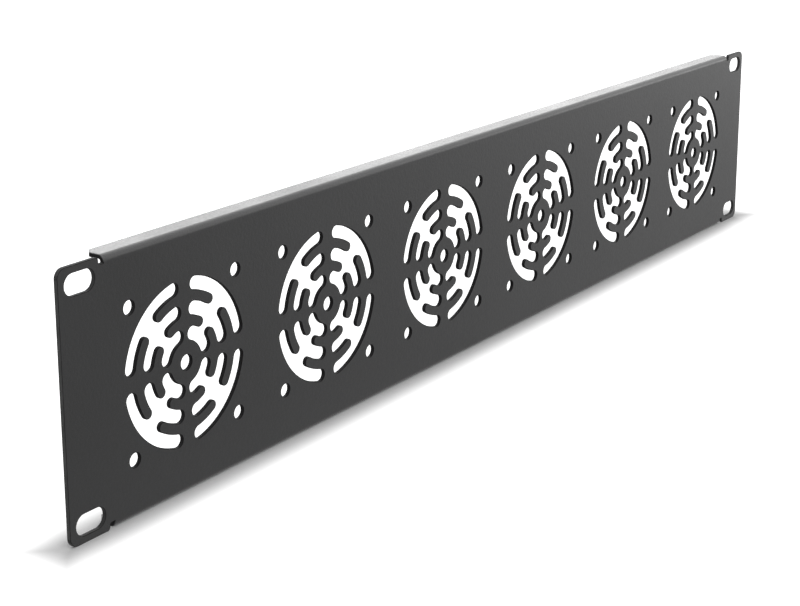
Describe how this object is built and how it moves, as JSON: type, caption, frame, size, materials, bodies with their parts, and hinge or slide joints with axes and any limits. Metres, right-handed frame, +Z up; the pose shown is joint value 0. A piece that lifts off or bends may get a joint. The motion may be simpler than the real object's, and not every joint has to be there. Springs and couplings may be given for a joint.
{
  "type": "rack fan panel",
  "caption": "Rack-mount sheet-metal fan panel with folded top and bottom edges, slotted ears and a row of pierced ring guards for axial fans.",
  "frame": {"origin": "middle of the panel's rear face, which seats on the rack's rails", "axes": "+X along the panel, to the right as seen from the front; +Y to the rear of the rack, out of the face that seats on the rails; +Z up"},
  "size_m": [0.483, 0.0085, 0.0882],
  "materials": {
    "powder_coated_steel": "fine satin black powder coat over folded steel sheet"
  },
  "bodies": {
    "root": {"fan_panel": "powder_coated_steel"}
  },
  "joints": []
}
